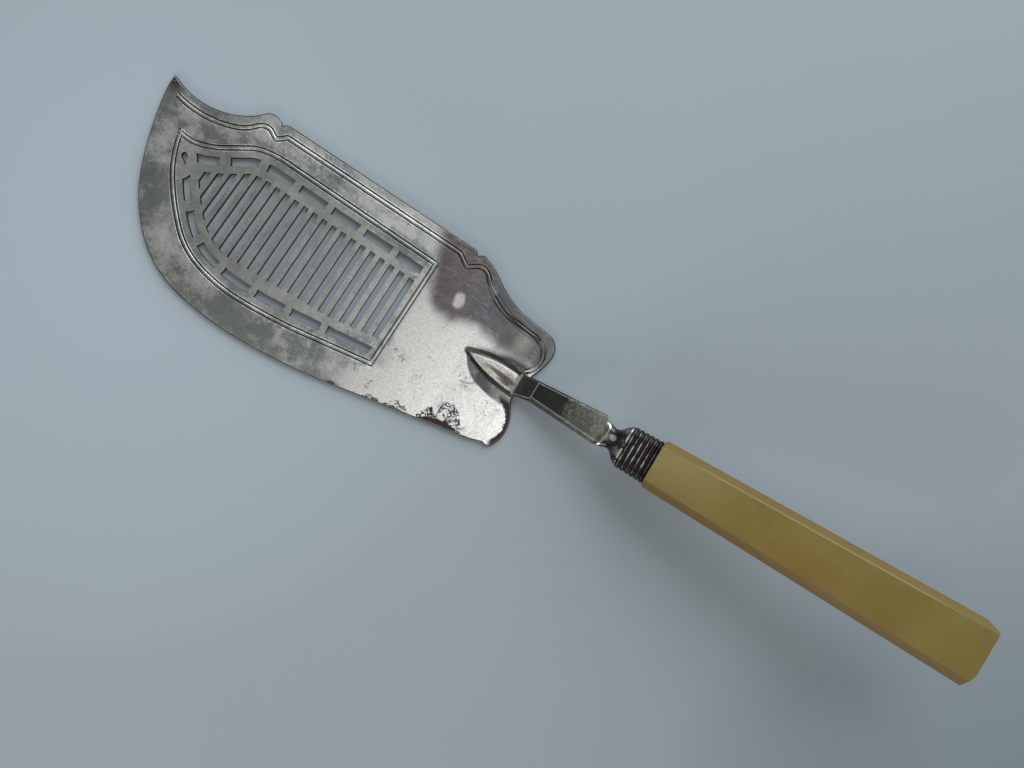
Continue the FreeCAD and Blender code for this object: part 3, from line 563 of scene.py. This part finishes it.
def reeded_plate():
    finish = Finish("reeded_plate")
    point = finish.place()
    clouds = finish.noise(point, 2.6, 4.0, 0.7)
    grit = finish.noise(point, 0.5, 2.0, 0.6)
    wear_and_highlight = finish.noise(finish.stretch(point, 0.0, (1.0, 0.3, 0.3)), 1.1, 3.0, 0.6)
    along = finish.part(point, 0) * math.cos(LIFT) + finish.part(point, 2) * math.sin(LIFT)
    wave = ((along - FIRST_CREST) * (2 * math.pi / REED_PITCH)).cosine()
    # Painted shade: the highlights fade toward the sides.
    side_fade = (finish.part(point, 1).size() - 2.5).most(0.0) * 0.3
    crest_highlight = finish.step(wave + (clouds - 0.5) * 2.4 + (wear_and_highlight - 0.5) * 3.4 - side_fade, 0.2, 1.5)
    colour = finish.blend(crest_highlight, HOLLOW, CREST_HIGHLIGHT)
    colour = finish.blend(finish.step(along, 51.0, 53.0) * 0.75, colour, LAST_GROOVE)
    colour = finish.blend(finish.step(grit, 0.62, 0.7) * 0.6, colour, SPECK)
    normal = finish.bump(clouds + grit * 0.5, 0.04)
    return finish.set(Base_Color=colour, Metallic=1.0, Roughness=0.34 + clouds * 0.15, Normal=normal)


REEDED = reeded_plate()
print(REEDED.name, len(REEDED.node_tree.nodes), "nodes")

# %% [markdown]
# ## The handle's finish
#
# The handle is a cast resin that imitates ivory. It has aged to khaki, with a warmer brown over the
# tang's end, a paler start at the ferrule, a faint grain along its length and fine dirt in the grain.
# Its chamfers get a painted shade, browner than its faces, and which chamfer a point lies on is read
# from the way it faces. A thin painted highlight runs along the edge of the upper chamfer.

# %% Finish of the handle
KHAKI_DARK, KHAKI_LIGHT, WARM_BROWN = (0.166, 0.117, 0.019), (0.194, 0.146, 0.029), (0.2, 0.112, 0.02)
PALE_START, GRAIN_BROWN, GRAIN_DIRT = (0.27, 0.212, 0.078), (0.12, 0.083, 0.016), (0.07, 0.05, 0.02)
NEAR_CHAMFER_SHADE, FAR_CHAMFER_SHADE, EDGE_HIGHLIGHT = (0.15, 0.09, 0.018), (0.16, 0.097, 0.015), (0.36, 0.28, 0.14)
TOP_HALF_WIDTH, TOP_SPREAD = 4.9, 0.0197


def aged_resin():
    finish = Finish("aged_resin")
    point = finish.place()
    x, y = finish.part(point, 0), finish.part(point, 1)
    clouds = finish.noise(point, 20.0, 4.0, 0.6, 0.4)
    grain = finish.noise(finish.stretch(point, 0.0, (0.06, 1.4, 1.4)), 1.0, 4.0, 0.6)
    grit = finish.noise(point, 0.5, 3.0, 0.7)
    colour = finish.blend(finish.step(clouds, 0.34, 0.66), KHAKI_DARK, KHAKI_LIGHT)
    warm = finish.step(x.bell(106.0, 20.0) * (y + 3.5).bell(0.0, 7.0) + (clouds - 0.5) * 1.2, 0.25, 0.95)
    colour = finish.blend(warm * 0.5, colour, WARM_BROWN)
    start = finish.step(x, 88.0, 52.0) * finish.step(y, -16.0, 6.0)
    colour = finish.blend(start * 0.95, colour, PALE_START)
    colour = finish.blend((grain - 0.35).most(0.0) * 0.5, colour, GRAIN_BROWN)
    colour = finish.blend(finish.step(grit, 0.66, 0.75) * 0.25, colour, GRAIN_DIRT)
    facing = finish.part(finish.node("ShaderNodeNewGeometry", output="Normal"), 1)
    # Painted shade on the near and the far chamfer.
    colour = finish.blend(finish.step(facing, -0.25, -0.6) * 0.8, colour, NEAR_CHAMFER_SHADE)
    colour = finish.blend(finish.step(facing, 0.25, 0.6) * 0.85, colour, FAR_CHAMFER_SHADE)
    # A painted highlight along the upper chamfer's edge.
    edge = (y - x * TOP_SPREAD).bell(TOP_HALF_WIDTH, 0.35)
    edge = edge * finish.step(x, 58.0, 70.0) * finish.step(x, 152.0, 130.0)
    colour = finish.blend(edge * (0.15 + grain * 0.55), colour, EDGE_HIGHLIGHT)
    normal = finish.bump(grain * 0.6 + grit * 0.25 + clouds, 0.05)
    return finish.set(Base_Color=colour, Roughness=0.4 + grain * 0.12, Normal=normal, Specular_IOR_Level=0.35)


RESIN = aged_resin()
print(RESIN.name, len(RESIN.node_tree.nodes), "nodes")

# %% [markdown]
# The tang is held in the handle by a filling of resin and brick dust. Nobody sees it, so one cloudy
# noise between two earthy greys is enough.

# %% Finish of the filling


def cement_filling():
    finish = Finish("cement_filling")
    clouds = finish.noise(finish.place(), 2.0, 4.0, 0.7)
    colour = finish.blend(clouds, (0.36, 0.33, 0.28), (0.5, 0.46, 0.4))
    return finish.set(Base_Color=colour, Roughness=0.9)


CEMENT = cement_filling()
print(CEMENT.name, len(CEMENT.node_tree.nodes), "nodes")

# %% [markdown]
# ## The blade and the handle
#
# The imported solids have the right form, but their triangles are loose, so every curve would show its
# facets. A merged copy of each can be shaded smooth up to a chosen angle, and its real edges stay crisp.

# %% Copy the solids and shade them smooth
SHARP_ANGLE = math.radians(28.0)
SAME_POINT = 0.002 * MM
LEVEL, LEANING = 0.99995, 0.9985


def keep_flat(mesh):
    """Mark the rim of every level face as sharp, so that its shading stays level up to the rim."""
    work = bmesh.new()
    work.from_mesh(mesh)
    for edge in work.edges:
        levels = sorted(abs(face.normal.z) for face in edge.link_faces)
        if len(levels) == 2 and levels[1] > LEVEL and levels[0] < LEANING:
            edge.smooth = False
    work.to_mesh(mesh)
    work.free()


def smooth_copy(node, name, material):
    """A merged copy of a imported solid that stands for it, smooth up to the sharp angle."""
    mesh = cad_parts[node].data.copy()
    mesh.name = name
    piece = bpy.data.objects.new(name, mesh)
    bpy.context.scene.collection.objects.link(piece)
    work = bmesh.new()
    work.from_mesh(mesh)
    bmesh.ops.remove_doubles(work, verts=work.verts, dist=SAME_POINT)
    work.to_mesh(mesh)
    work.free()
    for attribute in ("custom_normal", "sharp_face"):
        if attribute in mesh.attributes:
            mesh.attributes.remove(mesh.attributes[attribute])
    mesh.shade_smooth()
    mesh.set_sharp_from_angle(angle=SHARP_ANGLE)
    keep_flat(mesh)
    mesh.materials.clear()
    mesh.materials.append(material)
    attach(piece, "root")
    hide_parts(node)
    print(name, len(mesh.vertices), "points", len(mesh.polygons), "faces")


smooth_copy("blade", "plated_blade", PLATE)
smooth_copy("handle", "resin_handle", RESIN)
smooth_copy("ferrule", "reeded_ferrule", REEDED)
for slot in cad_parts["tang_cement"].material_slots:
    slot.material = CEMENT

# %% [markdown]
# ## The engraved borders
#
# Two pairs of engraved lines run on the blade: one along the scrolled back, one round the pierced
# field. Between the two lines of a pair the metal stands as a narrow bead, and the graver throws up a
# thin rim on each outer side. Bead and rims are rounded by wear and catch the light, and that makes the
# lines readable from far away. The path is the one the graver follows: straight runs and arcs, each
# arc leaving along the run before it.

# %% The graver's paths


def graver_path(start, heading, moves, step=0.5):
    """Points along straight runs ("line") and arcs that leave along the run before them ("arc")."""
    here = Vector(start)
    way = Vector((math.cos(math.radians(heading)), math.sin(math.radians(heading))))
    points = [here.copy()]
    for kind, x, y in moves:
        chord = Vector((x, y)) - here
        along = chord.normalized()
        side = Vector((along.y, -along.x))
        bend = math.atan2(way.x * along.y - way.y * along.x, way.dot(along)) if kind == "arc" else 0.0
        count = max(1, round(chord.length / step))
        for place in range(1, count + 1):
            share = place / count
            point = here + chord * share
            if abs(bend) > 0.001:
                radius = chord.length / 2 / math.sin(bend)
                angle = bend * (2 * share - 1)
                point = here + chord / 2 + along * (radius * math.sin(angle))
                point += side * (radius * (math.cos(angle) - math.cos(bend)))
            points.append(point)
        way = along if kind == "line" else along * (2 * way.dot(along)) - way
        here = Vector((x, y))
    return points


BACK_LINE = graver_path(
    (-143.4, 25.6),
    -16,
    [
        ("arc", -122.4, 26.1),
        ("arc", -116.3, 30.0),
        ("arc", -112.3, 31.55),
        ("arc", -110.6, 31.1),
        ("line", -108.3, 29.7),
        ("line", -105.4, 31.95),
        ("line", -37.6, 28.25),
        ("arc", -34.8, 27.0),
        ("line", -32.5, 25.5),
        ("line", -30.0, 27.2),
        ("arc", -26.0, 27.4),
        ("arc", -23.7, 25.7),
        ("arc", -9.5, 17.9),
        ("arc", -0.5, 16.8),
        ("arc", 4.8, 12.5),
        ("arc", 2.2, 3.8),
    ],
)
FIELD_TOP = graver_path(
    (-40.9, 20.9),
    177,
    [
        ("line", -101.0, 24.7),
        ("arc", -109.5, 24.3),
        ("arc", -113.6, 23.1),
        ("line", -121.6, 18.5),
        ("arc", -129.1, 15.4),
        ("arc", -137.5, 15.9),
    ],
)
FIELD_FRONT = graver_path(
    (-137.5, 15.9),
    -83,
    [
        ("arc", -131.1, -1.5),
        ("arc", -121.5, -13.5),
        ("arc", -109.4, -21.1),
        ("arc", -92.0, -24.0),
        ("arc", -72.0, -23.25),
        ("line", -42.8, -19.95),
        ("line", -40.9, 20.9),
    ],
)
FIELD_LINE = FIELD_TOP + FIELD_FRONT[1:-1]
print("back line", len(BACK_LINE), "points, field line", len(FIELD_LINE), "points")

# %% [markdown]
# Geometry nodes need a helper as shader nodes do. It adds a node with its settings and inputs in one
# line, and it keeps the identifier of each named input of the tree, because a modifier's input is set
# by the identifier and not by the name.

# %% A short way to write a node tree


class Growth:
    """A node tree that grows geometry, with named inputs and a short way to add nodes."""

    def __init__(self, name, **inputs):
        self.tree = bpy.data.node_groups.new(name, "GeometryNodeTree")
        self.tree.interface.new_socket("Geometry", in_out="INPUT", socket_type="NodeSocketGeometry")
        self.keys = {}
        for label, (kind, value) in inputs.items():
            socket = self.tree.interface.new_socket(label, in_out="INPUT", socket_type=kind)
            if value is not None:
                socket.default_value = value
            self.keys[label] = socket.identifier
        self.tree.interface.new_socket("Geometry", in_out="OUTPUT", socket_type="NodeSocketGeometry")
        self.entry = self.tree.nodes.new("NodeGroupInput")
        self.exit = self.tree.nodes.new("NodeGroupOutput")

    def given(self, label):
        return self.entry.outputs[label]

    def add(self, kind, settings=None, inputs=None, output=0):
        made = self.tree.nodes.new(kind)
        for name, value in (settings or {}).items():
            setattr(made, name, value)
        for name, value in (inputs or {}).items():
            many = value if isinstance(value, list) else [value]
            for item in many:
                if isinstance(item, bpy.types.NodeSocket):
                    self.tree.links.new(item, made.inputs[name])
                else:
                    made.inputs[name].default_value = item
        return made.outputs[output]

    def maths(self, operation, first, second=0.0):
        return self.add("ShaderNodeMath", {"operation": operation}, {0: first, 1: second})

    def close(self, shape, material):
        real = self.add("GeometryNodeRealizeInstances", {}, {0: shape})
        shaded = self.add("GeometryNodeSetMaterial", {}, {0: real, "Material": material})
        self.tree.links.new(shaded, self.exit.inputs[0])


print("node trees ready")

# %% [markdown]
# A node tree turns a path into its bead and rims. It shifts the path sideways by a share of the pair's
# width, lays an oval section along it with its flat side down, and joins the three. The rims stand a
# few of their own widths outside the pair, clear of the grooves. The widths are inputs of the tree, so
# both borders use the same one.

# %% The node tree of a border
RIM_OFFSET = 2.7
RAILS = ((0.5, "Bead", 0.0), (0.0, "Rim", -RIM_OFFSET), (1.0, "Rim", RIM_OFFSET))
SECTION_SIDES = 12


def border_tree():
    number = "NodeSocketFloat"
    growth = Growth(
        "engraved_border",
        Pair=(number, 1.75 * MM),
        Bead=(number, 0.36 * MM),
        Rim=(number, 0.11 * MM),
        Rise=(number, 0.09 * MM),
        Side=(number, 1.0),
        Finish=("NodeSocketMaterial", None),
    )
    tangent = growth.add("GeometryNodeInputTangent")
    sideways = growth.add("ShaderNodeVectorMath", {"operation": "CROSS_PRODUCT"}, {0: tangent, 1: (0, 0, 1)})
    rails = []
    for share, width, over in RAILS:
        middle = growth.maths("MULTIPLY", growth.given("Pair"), share)
        beyond = growth.maths("MULTIPLY", growth.given(width), over)
        away = growth.maths("MULTIPLY", growth.maths("ADD", middle, beyond), growth.given("Side"))
        shift = growth.add("ShaderNodeVectorMath", {"operation": "SCALE"}, {0: sideways, "Scale": away})
        rail = growth.add("GeometryNodeSetPosition", {}, {0: growth.given("Geometry"), "Offset": shift})
        rail = growth.add("GeometryNodeSetCurveNormal", {"mode": "Z_UP"}, {0: rail})
        sizes = {"Resolution": SECTION_SIDES, "Radius": 1.0}
        circle = growth.add("GeometryNodeCurvePrimitiveCircle", {"mode": "RADIUS"}, sizes)
        radii = {0: growth.given(width), 1: growth.given("Rise"), 2: 1.0}
        oval = growth.add("ShaderNodeCombineXYZ", {}, radii)
        section = growth.add("GeometryNodeTransform", {}, {0: circle, "Scale": oval})
        rails.append(growth.add("GeometryNodeCurveToMesh", {}, {0: rail, 1: section, "Fill Caps": True}))
    joined = growth.add("GeometryNodeJoinGeometry", {}, {0: rails})
    growth.close(joined, growth.given("Finish"))
    return growth


BORDER = border_tree()
print("border tree", len(BORDER.tree.nodes), "nodes")

# %% [markdown]
# A modifier grows the tree on a path. The result is turned into a plain mesh at once, and the holder
# of the modifier goes, so that the finished piece is only its faces, lying at the origin.

# %% Grow the two borders
BORDER_SHARP_ANGLE = math.radians(50.0)


def grown(name, host, growth, values):
    """The mesh that a tree grows from a host, as a plain piece."""
    holder = bpy.data.objects.new(name + "_host", host)
    bpy.context.scene.collection.objects.link(holder)
    modifier = holder.modifiers.new("growth", "NODES")
    modifier.node_group = growth.tree
    for label, value in values.items():
        modifier[growth.keys[label]] = value
    bpy.context.view_layer.update()
    ready = holder.evaluated_get(bpy.context.evaluated_depsgraph_get())
    mesh = bpy.data.meshes.new_from_object(ready)
    holder.modifiers.clear()
    bpy.data.objects.remove(holder)
    mesh.name = name
    mesh.shade_smooth()
    mesh.set_sharp_from_angle(angle=BORDER_SHARP_ANGLE)
    piece = bpy.data.objects.new(name, mesh)
    bpy.context.scene.collection.objects.link(piece)
    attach(piece, "root")
    print(name, len(mesh.polygons), "faces")


def path_curve(name, points, closed):
    curve = bpy.data.curves.new(name, "CURVE")
    curve.dimensions = "3D"
    spline = curve.splines.new("POLY")
    spline.points.add(len(points) - 1)
    for spot, point in zip(spline.points, points):
        spot.co = (point.x * MM, point.y * MM, PLATE_TOP * MM, 1.0)
    spline.use_cyclic_u = closed
    return curve


for name, points, closed, side in (
    ("back_border", BACK_LINE, False, 1.0),
    ("field_border", FIELD_LINE, True, -1.0),
):
    grown(name, path_curve(name, points, closed), BORDER, {"Side": side, "Finish": PLATE})

# %% [markdown]
# ## The floor
#
# The table is one plain pale sheet with the faint tooth of paper, with light and shade painted on it.
# It has painted shade toward the near corner, a painted shadow under the blade and a painted patch of
# brighter, bluer light to the left, as a real table has in the light of one window. The same soft oval
# clouds that mark the blade do this on a larger scale.

# %% The table
FLOOR_HALF = 3.0
PAPER_DARK, PAPER_LIGHT, TOOTH = (0.342, 0.392, 0.428), (0.364, 0.414, 0.45), (0.28, 0.33, 0.37)
NEAR_SHADE_GREY, LEFT_LIGHT_BLUE = (0.228, 0.256, 0.276), (0.47, 0.54, 0.61)
UNDER_BLADE_SHADOW, CORNER_SHADE_BLUE = (0.17, 0.17, 0.16), (0.13, 0.17, 0.2)


def pale_table():
    finish = Finish("pale_table")
    point = finish.place()
    x, y = finish.part(point, 0), finish.part(point, 1)
    colour = finish.blend(finish.noise(point, 60.0, 8.0, 0.75), PAPER_DARK, PAPER_LIGHT)
    tooth = (finish.noise(point, 0.8, 3.0, 0.7) - 0.5).most(0.0)
    colour = finish.blend(tooth * 1.2, colour, TOOTH)
    # Painted shade toward the near corner.
    near_shade = finish.step(x * 0.99 - y * 0.11, -150.0, 250.0)
    colour = finish.blend(near_shade * 0.62, colour, NEAR_SHADE_GREY)
    # A painted patch of brighter, bluer light to the left.
    colour = finish.blend(blots(x, y, ((-155, -45, 150, 130),)) * 0.45, colour, LEFT_LIGHT_BLUE)
    # A painted shadow under the blade.
    colour = finish.blend(blots(x, y, ((-88, 2, 62, 30),)) * 0.3, colour, UNDER_BLADE_SHADOW)
    # Painted shade in the near corner.
    colour = finish.blend(blots(x, y, ((238, -60, 135, 135),)) * 0.6, colour, CORNER_SHADE_BLUE)
    return finish.set(Base_Color=colour, Roughness=0.8, Specular_IOR_Level=0.2)


floor_mesh = bpy.data.meshes.new("table")
quarters = ((-1, -1), (1, -1), (1, 1), (-1, 1))
corners = [(way_x * FLOOR_HALF, way_y * FLOOR_HALF, 0) for way_x, way_y in quarters]
floor_mesh.from_pydata(corners, [], [(0, 1, 2, 3)])
floor_mesh.materials.append(pale_table())
floor = bpy.data.objects.new("table", floor_mesh)
bpy.context.scene.collection.objects.link(floor)
print("table", 2 * FLOOR_HALF, "m wide")

# %% [markdown]
# ## Light
#
# The light is a large soft lamp from the far side, which throws the handle's wide shadow toward the
# viewer. A small lamp overhead is what the flat blade mirrors, and a low one on the near side wakes
# the bevels of the belly. All three are discs, because a disc leaves no square corners in the metal.

# %% Three soft lamps
LAMP_DISTANCE = 1.1


def direction(heading, height):
    """The way to a lamp at a heading from the model's +X and a height angle."""
    level, around = math.radians(height), math.radians(heading)
    return Vector((math.cos(level) * math.cos(around), math.cos(level) * math.sin(around), math.sin(level)))


def soft_lamp(name, way, size, power, colour):
    """A round lamp in the given direction, aimed at the root of the leaf."""
    light = bpy.data.lights.new(name, "AREA")
    light.shape = "DISK"
    light.size = size
    light.energy = power
    light.color = colour
    lamp = bpy.data.objects.new(name, light)
    lamp.location = way * LAMP_DISTANCE
    lamp.rotation_euler = way.to_track_quat("Z", "Y").to_euler()
    bpy.context.scene.collection.objects.link(lamp)
    print(name, size, "m wide,", power, "W")


soft_lamp("key", direction(85.0, 35.0), 1.2, 12.4, (0.89, 0.975, 1.03))
soft_lamp("overhead", direction(-35.0, 81.0), 0.5, 0.86, (0.99, 1.0, 1.01))
soft_lamp("near_side", direction(-80.0, 22.0), 0.6, 4.4, (1.0, 0.975, 0.93))

# %% [markdown]
# Metal shows what surrounds it, so the sky isn't one grey. It is brighter toward the window than away
# from it, and the bevels and reeds have a light side and a dark side to mirror. The brightness follows
# from how far a direction points toward the window.

# %% The sky
SKY_DARK, SKY_BRIGHT = 0.12, 0.42

world = bpy.data.worlds.new("sky")
bpy.context.scene.world = world
world.use_nodes = True
sky = world.node_tree
toward = sky.nodes.new("ShaderNodeVectorMath")
toward.operation = "DOT_PRODUCT"
toward.inputs[1].default_value = direction(55.0, 50.0)
sky.links.new(sky.nodes.new("ShaderNodeTexCoord").outputs["Generated"], toward.inputs[0])
level = sky.nodes.new("ShaderNodeMapRange")
for name, value in {"From Min": -0.4, "From Max": 1.0, "To Min": SKY_DARK, "To Max": SKY_BRIGHT}.items():
    level.inputs[name].default_value = value
sky.links.new(toward.outputs["Value"], level.inputs["Value"])
sky.links.new(level.outputs["Result"], sky.nodes["Background"].inputs["Strength"])
sky.nodes["Background"].inputs["Color"].default_value = (1.0, 0.985, 0.955, 1.0)
bpy.context.scene.view_settings.view_transform = "Standard"
print("sky from", SKY_DARK, "to", SKY_BRIGHT)
